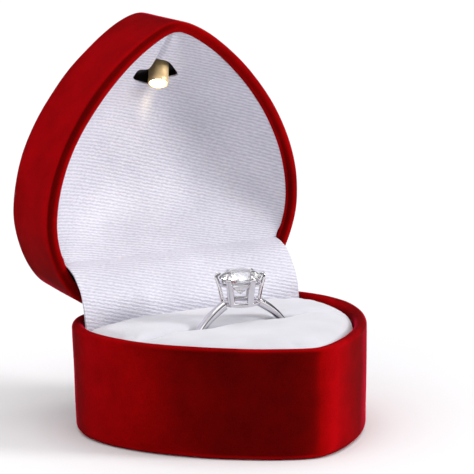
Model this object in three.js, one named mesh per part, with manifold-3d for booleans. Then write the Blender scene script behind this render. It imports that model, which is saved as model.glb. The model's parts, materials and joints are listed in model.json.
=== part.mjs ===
// A heart-shaped, velvet-covered ring box with a lamp in its lid, standing open.
// Millimetres, +Z up. The origin is the middle of the foot's underside, the heart's tip points to -Y
// and the hinge lies along X at the back. Lid pieces are drawn with the lid shut, then swung open.
import * as THREE from "three";
import { mergeVertices } from "three/addons/utils/BufferGeometryUtils.js";
import Module from "manifold-3d";

const wasm = await Module();
wasm.setup();

// ---- Driving dimensions ----
const HEART = {
  half: 30, // half the width
  widestY: 7.5,
  tipY: -32.3,
  tipReach: 7, // how far the tip stays blunt
  sideReach: 22,
  rearY: 25.1, // back of the two lobes
  lobeX: 19.6,
  lobeRise: 7.85,
  lobeReach: 4.7,
  notchDepth: 5.2,
  notchReach: 9,
  notchSpread: 4.5,
  notchLift: 1.2,
};
const CENTRE_Y = 2; // what the heart shrinks towards
const WALL = 2.4;
const FIT = 0.35; // room between a liner and its wall
const GAP = 0.3; // room between pieces that touch
const BASE_HEIGHT = 21.6;
const BASE_DRAFT = Math.tan(THREE.MathUtils.degToRad(1.1));
const FLOOR = 1.5;
const RIM_ROUND = 1.2;
const LID_RIM_ROUND = 0.8;
const CROWN_ROUND = 1.6;
const LID_DEPTH = 18;
const LID_DRAFT = Math.tan(THREE.MathUtils.degToRad(2.3));
const LID_TOP = 1.5;
const LID_RIM_Z = BASE_HEIGHT + GAP;
const LID_TOP_Z = BASE_HEIGHT + LID_DEPTH;
const HINGE_Y = 24.8;
const HINGE_Z = BASE_HEIGHT + 2.4;
const OPEN_ANGLE = THREE.MathUtils.degToRad(86);
const BOARD_Z = FLOOR + GAP;
const BOARD_THICK = 0.8;
const CUSHION_Z = BOARD_Z + BOARD_THICK + GAP;
const CUSHION_TOP = 22.5;
const CUSHION_BACK_Y = 14.2;
const SLOT_Y = -2.9;
const RING = { outer: 12, inner: 10.6, width: 2, topZ: 27.6 };
const SLOT_WIDTH = RING.width + 2 * GAP;

// ---- Finishes ----
const finish = (color, roughness, metalness = 0, more = {}) =>
  new THREE.MeshStandardMaterial({ color, roughness, metalness, ...more });
const FINISH = {
  velvet: finish(0x8c0010, 0.95),
  satin: finish(0xe4e4ee, 0.55),
  plush: finish(0xf2f2f5, 0.9),
  board: finish(0xb9aa90, 0.9),
  felt: finish(0x3a0508, 1),
  steel: finish(0xb8babd, 0.3, 1),
  brass: finish(0xc9a35a, 0.35, 1),
  black: finish(0x141416, 0.5),
  lens: finish(0xfff6dc, 0.1, 0, { transparent: true, opacity: 0.6 }),
  silver: finish(0xd9dade, 0.12, 1),
  stone: finish(0xf4f8ff, 0.02, 0, { transparent: true, opacity: 0.5 }),
  redWire: finish(0xb01818, 0.5),
  blackWire: finish(0x18181a, 0.5),
};

// ---- Outlines ----
// The heart at the rim, counter-clockwise from its tip.
function heartOutline(divisions = 13) {
  const h = HEART;
  const notchY = h.rearY - h.notchDepth;
  const shape = new THREE.Shape();
  shape.moveTo(0, h.tipY);
  shape.bezierCurveTo(h.tipReach, h.tipY, h.half, h.widestY - h.sideReach, h.half, h.widestY);
  shape.bezierCurveTo(h.half, h.widestY + h.lobeRise, h.lobeX + h.lobeReach, h.rearY, h.lobeX, h.rearY);
  shape.bezierCurveTo(h.lobeX - h.notchReach, h.rearY, h.notchSpread, notchY + h.notchLift, 0, notchY);
  shape.bezierCurveTo(-h.notchSpread, notchY + h.notchLift, h.notchReach - h.lobeX, h.rearY, -h.lobeX, h.rearY);
  shape.bezierCurveTo(-h.lobeX - h.lobeReach, h.rearY, -h.half, h.widestY + h.lobeRise, -h.half, h.widestY);
  shape.bezierCurveTo(-h.half, h.widestY - h.sideReach, -h.tipReach, h.tipY, 0, h.tipY);
  const points = shape.getPoints(divisions);
  points.pop();
  return points;
}

// Moves each point of an outline inwards, square to the outline.
function inset(points, distance) {
  const n = points.length;
  return points.map((p, i) => {
    const along = points[(i + 1) % n].clone().sub(points[(i + n - 1) % n]).normalize();
    return new THREE.Vector2(p.x - along.y * distance, p.y + along.x * distance);
  });
}

const shrink = (points, share) =>
  points.map((p) => new THREE.Vector2(p.x * share, CENTRE_Y + (p.y - CENTRE_Y) * share));

// The part of an outline in front of a line across it.
function clipBack(points, y) {
  return points.flatMap((p, i) => {
    const next = points[(i + 1) % points.length];
    const kept = p.y <= y ? [p] : [];
    if (p.y <= y !== next.y <= y) kept.push(p.clone().lerp(next, (y - p.y) / (next.y - p.y)));
    return kept;
  });
}

const RIM = heartOutline();

// ---- Solids ----
// A closed body through a row of rings, each with the same number of points, flat at both ends.
function loft(levels) {
  const n = levels[0].points.length;
  const position = levels.flatMap(({ points, z }) => points.flatMap((p) => [p.x, p.y, z]));
  const index = [];
  for (let k = 0; k + 1 < levels.length; k++)
    for (let i = 0; i < n; i++) {
      const j = (i + 1) % n;
      const [a, b, c, d] = [k * n + i, k * n + j, (k + 1) * n + j, (k + 1) * n + i];
      index.push(a, b, c, a, c, d);
    }
  const last = (levels.length - 1) * n;
  for (const [a, b, c] of THREE.ShapeUtils.triangulateShape(levels[0].points, []))
    index.push(a, c, b);
  for (const [a, b, c] of THREE.ShapeUtils.triangulateShape(levels.at(-1).points, []))
    index.push(last + a, last + b, last + c);
  const geometry = new THREE.BufferGeometry();
  geometry.setAttribute("position", new THREE.Float32BufferAttribute(position, 3));
  return geometry.setIndex(index);
}

function toSolid(geometry) {
  const bare = geometry.clone();
  bare.deleteAttribute("normal");
  bare.deleteAttribute("uv");
  const merged = mergeVertices(bare, 1e-4);
  return new wasm.Manifold(
    new wasm.Mesh({
      numProp: 3,
      vertProperties: new Float32Array(merged.attributes.position.array),
      triVerts: new Uint32Array(merged.index.array),
    }),
  );
}

function toGeometry(solid) {
  const mesh = solid.getMesh();
  const geometry = new THREE.BufferGeometry();
  geometry.setAttribute("position", new THREE.BufferAttribute(mesh.vertProperties, 3));
  return geometry.setIndex(new THREE.BufferAttribute(mesh.triVerts, 1));
}

const cut = (geometry, ...tools) =>
  toGeometry(tools.reduce((solid, tool) => solid.subtract(toSolid(tool)), toSolid(geometry)));
const keep = (geometry, tool) => toGeometry(toSolid(geometry).intersect(toSolid(tool)));
const join = (...geometries) => toGeometry(geometries.map(toSolid).reduce((a, b) => a.add(b)));

function block([x0, x1], [y0, y1], [z0, z1]) {
  const geometry = new THREE.BoxGeometry(x1 - x0, y1 - y0, z1 - z0);
  return geometry.translate((x0 + x1) / 2, (y0 + y1) / 2, (z0 + z1) / 2);
}

// A round bar between two points, or a cone where it has a second radius.
function bar(from, to, radius, sides = 20, endRadius = radius) {
  const start = new THREE.Vector3(...from);
  const span = new THREE.Vector3(...to).sub(start);
  const geometry = new THREE.CylinderGeometry(endRadius, radius, span.length(), sides);
  const turn = new THREE.Quaternion().setFromUnitVectors(
    new THREE.Vector3(0, 1, 0),
    span.clone().normalize(),
  );
  return geometry.applyQuaternion(turn).translate(...start.addScaledVector(span, 0.5).toArray());
}

const barAlongX = (x0, x1, y, z, radius, sides) => bar([x0, y, z], [x1, y, z], radius, sides);
const barAlongY = (x, [y0, y1], z, radius, sides) => bar([x, y0, z], [x, y1, z], radius, sides);

// A wire along a curve through the points.
function wire(points, radius, steps, sides = 8) {
  const section = new THREE.Shape(
    Array.from({ length: sides }, (_, i) => {
      const angle = (2 * Math.PI * i) / sides;
      return new THREE.Vector2(radius * Math.cos(angle), radius * Math.sin(angle));
    }),
  );
  const extrudePath = new THREE.CatmullRomCurve3(points.map((p) => new THREE.Vector3(...p)));
  return new THREE.ExtrudeGeometry(section, { steps, extrudePath, bevelEnabled: false });
}

// ---- Assembly ----
const box = new THREE.Group();
const lid = new THREE.Group();
lid.position.set(0, HINGE_Y, HINGE_Z);
lid.rotation.x = -OPEN_ANGLE;
box.add(lid);

function place(name, geometry, material, group = box) {
  const mesh = new THREE.Mesh(geometry, material);
  mesh.name = name;
  if (group === lid) geometry.translate(0, -HINGE_Y, -HINGE_Z);
  geometry.computeVertexNormals();
  group.add(mesh);
}

const MIRRORED = [
  ["left", -1],
  ["right", 1],
];

// ---- Hinge dimensions that the two shells share ----
const LEAF = {
  half: 8,
  thick: 0.6,
  legY: 16.5, // front face of both upright legs
  legReach: 8.9,
  knuckle: 1.4,
  bore: 0.85,
  clearY: 22.8, // behind this the plate is cut into tongues
};
const SCREW = { x: 5, shaft: 0.6, hole: 0.95, head: 1.3, boss: 1.9, bossY: 17.4, depthY: 19.2 };
const BASE_SCREW_Z = 17.2;
const LID_SCREW_Z = 28.6;
const BASE_PLATE_Z = [HINGE_Z - LEAF.knuckle, HINGE_Z - LEAF.knuckle + LEAF.thick];
const LID_PLATE_Z = [HINGE_Z + LEAF.knuckle - LEAF.thick, HINGE_Z + LEAF.knuckle];

const screwBosses = (z) =>
  MIRRORED.map(([, side]) => barAlongY(side * SCREW.x, [SCREW.bossY, SCREW.depthY + 0.3], z, SCREW.boss));
const screwHoles = (z) =>
  MIRRORED.map(([, side]) => barAlongY(side * SCREW.x, [16, SCREW.depthY], z, SCREW.hole));

// ---- Switch dimensions: the plunger hangs from the lid and lands on a post in the base ----
const SWITCH = { x: -17, y: 19, half: 3.6, bottomZ: 25, topZ: 33.4, travel: 1.8 };
const STRIKER_Z = 20.9;

// ---- Base ----
function baseShell() {
  const drafted = (z) => (BASE_HEIGHT - z) * BASE_DRAFT;
  const soft = RIM_ROUND * 0.3;
  const level = (distance, z) => ({ points: inset(RIM, distance), z });
  const shell = loft([
    level(drafted(0) + RIM_ROUND, 0),
    level(drafted(0) + soft, soft),
    level(drafted(RIM_ROUND), RIM_ROUND),
    level(drafted(BASE_HEIGHT - RIM_ROUND), BASE_HEIGHT - RIM_ROUND),
    level(soft, BASE_HEIGHT - soft),
    level(RIM_ROUND, BASE_HEIGHT),
    level(WALL - soft, BASE_HEIGHT - soft),
    level(WALL, BASE_HEIGHT - RIM_ROUND),
    level(WALL, FLOOR),
  ]);
  const striker = block([SWITCH.x - 1.6, SWITCH.x + 1.6], [17.2, 23.4], [FLOOR - 0.4, STRIKER_Z]);
  const recess = loft([
    { points: shrink(RIM, PAD_SHARE + 0.01), z: -1 },
    { points: shrink(RIM, PAD_SHARE + 0.01), z: PAD_THICK + GAP },
  ]);
  return cut(join(shell, striker, ...screwBosses(BASE_SCREW_Z)), recess, ...screwHoles(BASE_SCREW_Z));
}

const PAD_SHARE = 0.87;
const PAD_THICK = 0.5;
const basePad = () =>
  loft([
    { points: shrink(RIM, PAD_SHARE), z: 0 },
    { points: shrink(RIM, PAD_SHARE), z: PAD_THICK },
  ]);

const insideWall = () => inset(RIM, WALL + FIT);

function cushionBoard() {
  const points = clipBack(insideWall(), CUSHION_BACK_Y);
  return loft([
    { points, z: BOARD_Z },
    { points, z: BOARD_Z + BOARD_THICK },
  ]);
}

// One foam half, from lowY to highY, crowned towards the middle of the box.
function cushion(lowY, highY) {
  const crown = [
    [1, CUSHION_Z],
    [1, CUSHION_TOP - 2.6],
    [0.975, CUSHION_TOP - 1.2],
    [0.9, CUSHION_TOP - 0.4],
    [0.7, CUSHION_TOP],
  ];
  return keep(
    loft(crown.map(([share, z]) => ({ points: shrink(insideWall(), share), z }))),
    block([-HEART.half, HEART.half], [lowY, highY], [0, CUSHION_TOP + 1]),
  );
}

place("base_shell", baseShell(), FINISH.velvet);
place("base_pad", basePad(), FINISH.felt);
place("cushion_board", cushionBoard(), FINISH.board);
place("cushion_front", cushion(HEART.tipY, SLOT_Y - SLOT_WIDTH / 2), FINISH.plush);
place("cushion_back", cushion(SLOT_Y + SLOT_WIDTH / 2, CUSHION_BACK_Y), FINISH.plush);

// The satin strip that leaves the lid's lining, bulges forward and tucks in behind the cushion.
function hingeFlap() {
  const half = 25.4;
  const thick = 0.6;
  const drape = new THREE.CatmullRomCurve3(
    [
      [14.85, 12],
      [14.85, 17],
      [15.0, 20.4],
      [15.6, 24.5],
      [16.9, 27.4],
      [19.4, 30.8],
      [21.8, 32.2],
    ].map(([y, z]) => new THREE.Vector3(0, y, z)),
  ).getPoints(18);
  const side = (sign) =>
    drape.map((p, i) => {
      const a = drape[Math.max(0, i - 1)];
      const b = drape[Math.min(drape.length - 1, i + 1)];
      const across = new THREE.Vector2(-(b.z - a.z), b.y - a.y).normalize();
      return new THREE.Vector2(p.y, p.z).addScaledVector(across, (sign * thick) / 2);
    });
  const section = new THREE.Shape([...side(1), ...side(-1).reverse()]);
  const strip = new THREE.ExtrudeGeometry(section, { depth: 2 * half, bevelEnabled: false });
  return strip.rotateY(Math.PI / 2).rotateX(Math.PI / 2).translate(-half, 0, 0);
}
place("hinge_flap", hingeFlap(), FINISH.satin);

// ---- Hinge ----
// One leaf: a plate with tongues, an upright leg inside the box, and knuckles bored for the pin.
function hingeLeaf(plateZ, legZ, knuckles, screwZ) {
  const plate = block([-LEAF.half, LEAF.half], [LEAF.legY, LEAF.clearY], plateZ);
  const leg = block([-LEAF.half, LEAF.half], [LEAF.legY, LEAF.legY + LEAF.thick], legZ);
  const rolls = knuckles.flatMap(([x0, x1]) => [
    block([x0, x1], [LEAF.clearY - 0.2, HINGE_Y], plateZ),
    barAlongX(x0, x1, HINGE_Y, HINGE_Z, LEAF.knuckle, 24),
  ]);
  const bore = barAlongX(-LEAF.half - 1, LEAF.half + 1, HINGE_Y, HINGE_Z, LEAF.bore, 20);
  return cut(join(plate, leg, ...rolls), bore, ...screwHoles(screwZ));
}

const mirroredSpans = (near, far) => [
  [-far, -near],
  [near, far],
];

place(
  "hinge_leaf_base",
  hingeLeaf(
    BASE_PLATE_Z,
    [BASE_PLATE_Z[1] - LEAF.legReach, BASE_PLATE_Z[1]],
    mirroredSpans(4.3, LEAF.half),
    BASE_SCREW_Z,
  ),
  FINISH.steel,
);
place(
  "hinge_leaf_lid",
  hingeLeaf(
    LID_PLATE_Z,
    [LID_PLATE_Z[0], LID_PLATE_Z[0] + LEAF.legReach],
    mirroredSpans(2.3, 4.1),
    LID_SCREW_Z,
  ),
  FINISH.steel,
  lid,
);

function hingePin() {
  const end = LEAF.half + 0.6;
  const heads = MIRRORED.map(([, side]) =>
    barAlongX(Math.min(side * (end - 0.4), side * end), Math.max(side * (end - 0.4), side * end),
      HINGE_Y, HINGE_Z, 1, 20),
  );
  return join(barAlongX(-end, end, HINGE_Y, HINGE_Z, 0.6, 20), ...heads);
}
place("hinge_pin", hingePin(), FINISH.steel);

// A torsion spring on the pin, its legs resting on the two leaves.
function hingeSpring() {
  const turns = 3.25;
  const radius = 1.15;
  const halfLength = 1.6;
  const perTurn = 12;
  const coil = Array.from({ length: turns * perTurn + 1 }, (_, i) => {
    const angle = -Math.PI / 2 + (2 * Math.PI * i) / perTurn;
    return [
      -halfLength + (2 * halfLength * i) / (turns * perTurn),
      HINGE_Y + radius * Math.cos(angle),
      HINGE_Z + radius * Math.sin(angle),
    ];
  });
  const baseLeg = [
    [-halfLength - 0.1, HINGE_Y - 4.6, HINGE_Z - 0.35],
    [-halfLength - 0.1, HINGE_Y - 2.2, HINGE_Z - 0.5],
    [-halfLength - 0.05, HINGE_Y - 0.9, HINGE_Z - 1.0],
  ];
  const lidLeg = [
    [halfLength + 0.05, HINGE_Y + 0.8, HINGE_Z + 0.9],
    [halfLength + 0.1, HINGE_Y, HINGE_Z + 2.0],
    [halfLength + 0.1, HINGE_Y - 0.2, HINGE_Z + 4.6],
  ];
  return wire([...baseLeg, ...coil, ...lidLeg], 0.2, 96, 6);
}
place("hinge_spring", hingeSpring(), FINISH.steel);

function hingeScrew(x, z) {
  const head = barAlongY(x, [LEAF.legY - GAP - 0.6, LEAF.legY - GAP], z, SCREW.head);
  const shaft = barAlongY(x, [LEAF.legY - GAP - 0.1, SCREW.depthY - GAP], z, SCREW.shaft);
  const slot = block([x - 1, x + 1], [LEAF.legY - GAP - 1, LEAF.legY - GAP - 0.35], [z - 0.18, z + 0.18]);
  return cut(join(head, shaft), slot);
}
for (const [name, side] of MIRRORED) {
  place(`hinge_screw_base_${name}`, hingeScrew(side * SCREW.x, BASE_SCREW_Z), FINISH.steel);
  place(`hinge_screw_lid_${name}`, hingeScrew(side * SCREW.x, LID_SCREW_Z), FINISH.steel, lid);
}

// ---- Lid ----
function lidShell() {
  const drafted = (z) => Math.max(0, z - LID_RIM_Z - LID_RIM_ROUND) * LID_DRAFT;
  const soft = RIM_ROUND * 0.3;
  const low = LID_RIM_Z + LID_RIM_ROUND * 0.3;
  const level = (distance, z) => ({ points: inset(RIM, distance), z });
  const ceiling = LID_TOP_Z - LID_TOP;
  const side = LID_TOP_Z - CROWN_ROUND;
  const crown = inset(RIM, drafted(side));
  const shell = loft([
    level(WALL + drafted(ceiling) * 0.7, ceiling),
    level(WALL, LID_RIM_Z + LID_RIM_ROUND),
    level(WALL - soft, low),
    level(RIM_ROUND, LID_RIM_Z),
    level(soft, low),
    level(0, LID_RIM_Z + LID_RIM_ROUND),
    { points: crown, z: side },
    { points: shrink(crown, 0.985), z: side + CROWN_ROUND * 0.7 },
    { points: shrink(crown, 0.965), z: side + CROWN_ROUND * 0.93 },
    { points: shrink(crown, 0.94), z: LID_TOP_Z },
  ]);
  const reach = LEAF.half + 0.6;
  const hingeCutout = block([-reach, reach], [14, HINGE_Y], [LID_RIM_Z - 1, LID_PLATE_Z[1] + 0.4]);
  return cut(join(shell, ...screwBosses(LID_SCREW_Z)), hingeCutout, ...screwHoles(LID_SCREW_Z));
}
place("lid_shell", lidShell(), FINISH.velvet, lid);

// The lamp's sleeve leans towards the ring: where it leaves the lining, and where its light leaves it.
const LAMP_FOOT = new THREE.Vector3(1.2, -22.84, 32.13);
const LAMP_MOUTH = new THREE.Vector3(-0.78, -18.26, 28.8);
const LAMP_AXIS = LAMP_MOUTH.clone().sub(LAMP_FOOT).normalize();
const alongLamp = (from, distance) => from.clone().addScaledVector(LAMP_AXIS, distance).toArray();
const SLEEVE_TAIL = 2.2;
const SLEEVE_RADIUS = 2.1;

// A bowl of satin-covered card: share of the outline against height, seen from the rim upwards.
const BOWL = [
  [0.985, LID_RIM_Z + 0.5],
  [0.955, BASE_HEIGHT + 2.6],
  [0.8, BASE_HEIGHT + 6.2],
  [0.6, BASE_HEIGHT + 9.8],
  [0.42, BASE_HEIGHT + 12.8],
  [0.25, BASE_HEIGHT + 13.5],
];
const BOWL_BACK_Y = 15.6;
const BOWL_THICK = 0.7;

// The torn-looking opening that the lamp comes out of, square to the bowl's slope near the tip.
function lampSlit() {
  const edge = [
    [-6.5, 0.4],
    [-5.8, -1.4],
    [-3.3, -1.2],
    [-2.1, -3.1],
    [-0.8, -3.5],
    [1.3, -2.5],
    [3, -0.8],
    [4.6, 1.3],
    [2.7, 2],
    [1.6, 3.3],
    [0, 3.7],
    [-1.7, 3.5],
    [-3.3, 2.9],
    [-5.5, 1.6],
  ];
  const shape = new THREE.Shape(edge.map(([x, y]) => new THREE.Vector2(x, y)));
  const prism = new THREE.ExtrudeGeometry(shape, { depth: 8, bevelEnabled: false });
  return prism.translate(0, 0, -4).rotateX(THREE.MathUtils.degToRad(34)).translate(0, -20.5, 29.3);
}

function lidLining() {
  const outline = clipBack(insideWall(), BOWL_BACK_Y);
  const inner = BOWL.map(([share, z]) => ({ points: shrink(outline, share), z })).reverse();
  const outer = BOWL.map(([share, z], i) => ({
    points: shrink(outline, share + 0.015),
    z: i === 0 ? z : z + BOWL_THICK,
  }));
  const sleeveRoom = bar(alongLamp(LAMP_FOOT, -1), alongLamp(LAMP_MOUTH, 1), SLEEVE_RADIUS + GAP, 28);
  return cut(loft([...inner, ...outer]), lampSlit(), sleeveRoom);
}
place("lid_lining", lidLining(), FINISH.satin, lid);

// ---- Lamp ----
place(
  "lamp_sleeve",
  cut(
    bar(alongLamp(LAMP_FOOT, -SLEEVE_TAIL), LAMP_MOUTH.toArray(), SLEEVE_RADIUS, 28),
    bar(alongLamp(LAMP_FOOT, -SLEEVE_TAIL - 1), alongLamp(LAMP_MOUTH, 1), SLEEVE_RADIUS - 0.4, 24),
  ),
  FINISH.brass,
  lid,
);
place(
  "lamp_bulb",
  bar(alongLamp(LAMP_MOUTH, -4.2), alongLamp(LAMP_MOUTH, -0.35), 1.45, 20),
  FINISH.lens,
  lid,
);
place(
  "lamp_bracket",
  cut(
    block([-4.5, 6], [-26.2, -20.2], [32.2, LID_TOP_Z - LID_TOP - GAP]),
    bar(alongLamp(LAMP_FOOT, -6.5), alongLamp(LAMP_FOOT, 5), SLEEVE_RADIUS + GAP, 24),
  ),
  FINISH.black,
  lid,
);

// ---- Cell holder, in the right lobe of the lid ----
const HOLDER = { x: [10.4, 21.2], y: [16.3, 20.6], z: [25.2, 36] };
const CELL = { x: 15.8, z: 30.6, radius: 4.75, thick: 2.7 };
const COVER_THICK = 0.5;
place(
  "cell_holder",
  cut(
    block(HOLDER.x, [HOLDER.y[0] + COVER_THICK + GAP, HOLDER.y[1]], HOLDER.z),
    barAlongY(CELL.x, [HOLDER.y[0], HOLDER.y[1] - 0.5], CELL.z, CELL.radius + GAP / 2, 32),
  ),
  FINISH.black,
  lid,
);
place(
  "cell_cover",
  cut(
    block(HOLDER.x, [HOLDER.y[0], HOLDER.y[0] + COVER_THICK], HOLDER.z),
    block([CELL.x - 1.2, CELL.x + 1.2], [HOLDER.y[0] - 1, HOLDER.y[0] + 2], [CELL.z - 3, CELL.z + 3]),
  ),
  FINISH.black,
  lid,
);
place(
  "cell",
  barAlongY(
    CELL.x,
    [HOLDER.y[0] + COVER_THICK + GAP, HOLDER.y[0] + COVER_THICK + GAP + CELL.thick],
    CELL.z,
    CELL.radius,
    32,
  ),
  FINISH.steel,
  lid,
);

// ---- Switch, in the left lobe of the lid ----
const PLUNGER = { radius: 0.8, flange: 1.5, tipZ: STRIKER_Z + 0.2 - SWITCH.travel };
function switchBody() {
  const { x, y, half, bottomZ, topZ } = SWITCH;
  const body = block([x - half, x + half], [17, 21], [bottomZ, topZ]);
  const guide = bar([x, y, bottomZ - 1], [x, y, bottomZ + 1], PLUNGER.radius + GAP, 20);
  const chamber = bar([x, y, bottomZ + 0.7], [x, y, topZ + 1], PLUNGER.flange + 0.25, 24);
  return cut(body, guide, chamber);
}
place("switch_body", switchBody(), FINISH.black, lid);
place(
  "switch_plunger",
  join(
    bar([SWITCH.x, SWITCH.y, PLUNGER.tipZ], [SWITCH.x, SWITCH.y, SWITCH.bottomZ + 1.2], PLUNGER.radius, 16),
    bar(
      [SWITCH.x, SWITCH.y, SWITCH.bottomZ + 1],
      [SWITCH.x, SWITCH.y, SWITCH.bottomZ + 1.8],
      PLUNGER.flange,
      20,
    ),
  ),
  FINISH.steel,
  lid,
);
function switchSpring() {
  const turns = 3;
  const perTurn = 10;
  const from = SWITCH.bottomZ + 2.2;
  const to = SWITCH.topZ - 1.4;
  const points = Array.from({ length: turns * perTurn + 1 }, (_, i) => {
    const angle = (2 * Math.PI * i) / perTurn;
    const z = from + ((to - from) * i) / (turns * perTurn);
    return [SWITCH.x + 1.15 * Math.cos(angle), SWITCH.y + 1.15 * Math.sin(angle), z];
  });
  return wire(points, 0.18, 60, 6);
}
place("switch_spring", switchSpring(), FINISH.steel, lid);
place(
  "switch_cap",
  bar([SWITCH.x, SWITCH.y, SWITCH.topZ - 0.9], [SWITCH.x, SWITCH.y, SWITCH.topZ - 0.2], 1.5, 20),
  FINISH.steel,
  lid,
);

// ---- Leads, between the lining and the lid's top ----
const LEAD_RADIUS = 0.35;
const LEADS = {
  lead_positive: [
    [15.4, 15.6, 34.6],
    [15.4, 12, 35.6],
    [16, 2, 35.7],
    [12, -9, 35.6],
    [8, -17, 35.3],
    [6.6, -21.5, 34.4],
  ],
  lead_negative: [
    [-17, 16.3, 34.2],
    [-16.4, 12, 35.6],
    [-15, 2, 35.7],
    [-11, -10, 35.6],
    [-7, -17, 35.2],
    [-5.2, -21.5, 34.4],
  ],
  lead_switch: [
    [9.6, 18.2, 34.8],
    [7, 17.4, 35.4],
    [0, 16.8, 35.5],
    [-8, 17.4, 35.4],
    [-12.9, 18.4, 32.6],
  ],
};
for (const [name, points] of Object.entries(LEADS))
  place(name, wire(points, LEAD_RADIUS, 24), name === "lead_positive" ? FINISH.redWire : FINISH.blackWire, lid);

// ---- Ring ----
const RING_Z = RING.topZ - RING.outer;
const HEAD_Z = RING.topZ - 1.8;
const HEAD_FOOT = 4.05; // outer radius where the band's two arms meet the setting
const STONE = { girdle: 4.6, table: 2.7, crown: 1.3, pavilion: 3.6, girdleZ: HEAD_Z + 5.6 };
const PRONGS = 6;

function ringShank() {
  const middle = (RING.outer + RING.inner) / 2;
  const halfThick = (RING.outer - RING.inner) / 2;
  const section = Array.from({ length: 13 }, (_, i) => {
    const angle = (2 * Math.PI * i) / 12;
    return new THREE.Vector2(
      middle + halfThick * Math.cos(angle),
      (RING.width / 2) * Math.sin(angle),
    );
  });
  section[12].copy(section[0]);
  const band = new THREE.LatheGeometry(section, 64).translate(0, SLOT_Y, RING_Z);
  const seat = bar([0, SLOT_Y, RING_Z + 5], [0, SLOT_Y, RING.topZ + 1], HEAD_FOOT + GAP, 32);
  return cut(band, seat);
}
place("ring_shank", ringShank(), FINISH.silver);

function galleryRing(radius, z, height, thick) {
  const section = [
    [radius - thick / 2, -height / 2],
    [radius + thick / 2, -height / 2],
    [radius + thick / 2, height / 2],
    [radius - thick / 2, height / 2],
    [radius - thick / 2, -height / 2],
  ].map(([r, h]) => new THREE.Vector2(r, h));
  return new THREE.LatheGeometry(section, 30).rotateX(Math.PI / 2).translate(0, SLOT_Y, z);
}

// Two rails carrying six prongs that lean out and close over the stone.
function ringHead() {
  const footRadius = HEAD_FOOT - 0.55;
  const topRadius = STONE.girdle + 0.85;
  const topZ = STONE.girdleZ + 1.1;
  const prongs = Array.from({ length: PRONGS }, (_, i) => {
    const angle = (2 * Math.PI * (i + 0.5)) / PRONGS;
    const at = (radius, z) => [radius * Math.cos(angle), SLOT_Y + radius * Math.sin(angle), z];
    return bar(at(footRadius, HEAD_Z), at(topRadius, topZ), 0.62, 10, 0.5);
  });
  return join(
    galleryRing(footRadius, HEAD_Z + 0.5, 1, 1),
    galleryRing(4.35, HEAD_Z + 3.5, 0.7, 0.9),
    ...prongs,
  );
}
place("ring_head", ringHead(), FINISH.silver);

// A round stone: flat table, sloping crown, thin girdle and pointed pavilion.
function ringStone() {
  const { girdle, table, crown, pavilion, girdleZ } = STONE;
  const section = [
    [0, -pavilion],
    [girdle - 0.35, -0.25],
    [girdle - 0.35, 0],
    [table, crown],
    [0, crown],
  ].map(([r, h]) => new THREE.Vector2(r, h));
  return new THREE.LatheGeometry(section, 16).rotateX(Math.PI / 2).translate(0, SLOT_Y, girdleZ);
}
place("ring_stone", ringStone(), FINISH.stone);

export default box;
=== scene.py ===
"""A heart-shaped velvet ring box with a lamp in its lid, standing open with a ring in its cushion.
Shapes are worked out in millimetres and written in metres. Most lid pieces are drawn with the lid
shut and then swung open about the hinge."""

import json
import math

import bpy
import numpy as np
from mathutils import Matrix, Vector, noise


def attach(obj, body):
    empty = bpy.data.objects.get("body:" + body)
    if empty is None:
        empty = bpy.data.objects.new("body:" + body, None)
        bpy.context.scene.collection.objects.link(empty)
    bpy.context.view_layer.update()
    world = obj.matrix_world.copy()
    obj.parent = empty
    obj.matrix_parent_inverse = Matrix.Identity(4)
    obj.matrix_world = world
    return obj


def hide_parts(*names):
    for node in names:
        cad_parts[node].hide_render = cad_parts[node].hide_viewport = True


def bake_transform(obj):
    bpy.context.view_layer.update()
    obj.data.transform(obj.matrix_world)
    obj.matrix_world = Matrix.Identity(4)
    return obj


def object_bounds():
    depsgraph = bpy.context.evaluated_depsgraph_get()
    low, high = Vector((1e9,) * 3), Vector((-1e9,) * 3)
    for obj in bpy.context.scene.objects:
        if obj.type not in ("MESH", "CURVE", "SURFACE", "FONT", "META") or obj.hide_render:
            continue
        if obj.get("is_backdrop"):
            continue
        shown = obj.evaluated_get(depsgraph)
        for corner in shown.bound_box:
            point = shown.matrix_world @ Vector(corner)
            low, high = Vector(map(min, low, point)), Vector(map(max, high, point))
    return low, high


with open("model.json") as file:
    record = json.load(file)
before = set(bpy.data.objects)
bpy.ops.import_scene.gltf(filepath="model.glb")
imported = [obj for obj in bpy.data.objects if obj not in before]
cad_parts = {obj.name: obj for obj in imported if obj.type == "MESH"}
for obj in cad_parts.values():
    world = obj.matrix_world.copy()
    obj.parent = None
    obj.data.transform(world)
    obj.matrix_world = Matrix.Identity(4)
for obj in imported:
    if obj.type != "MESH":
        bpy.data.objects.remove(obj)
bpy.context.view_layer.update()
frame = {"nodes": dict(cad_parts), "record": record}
nodes = frame["nodes"]
MM = 0.001

# ---- Dimensions shared with the solids, in millimetres ----
HALF = 30.0  # half the box's width
WIDEST_Y = 7.5
TIP_Y = -32.3
TIP_REACH = 7.0
SIDE_REACH = 22.0
REAR_Y = 25.1
LOBE_X = 19.6
LOBE_RISE = 7.85
LOBE_REACH = 4.7
NOTCH_Y = REAR_Y - 5.2
NOTCH_REACH = 9.0
NOTCH_SPREAD = 4.5
NOTCH_LIFT = 1.2
CENTRE = np.array([0.0, 2.0])
WALL = 2.4
BASE_HEIGHT = 21.6
BASE_DRAFT = math.tan(math.radians(1.1))
RIM_ROUND = 1.2
LID_RIM_ROUND = 0.8
CROWN_ROUND = 1.6
LID_RIM_Z = BASE_HEIGHT + 0.3
LID_TOP_Z = BASE_HEIGHT + 18.0
LID_DRAFT = math.tan(math.radians(2.3))
HINGE = np.array([0.0, 24.8, 24.0])
OPEN_ANGLE = math.radians(86)
SLOT_Y = -2.9
CUSHION_TOP = 22.5
CUSHION_BACK_Y = 14.2
RING_OUTER = 12.0
RING_Z = 15.6
HEAD_Z = 25.8
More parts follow.
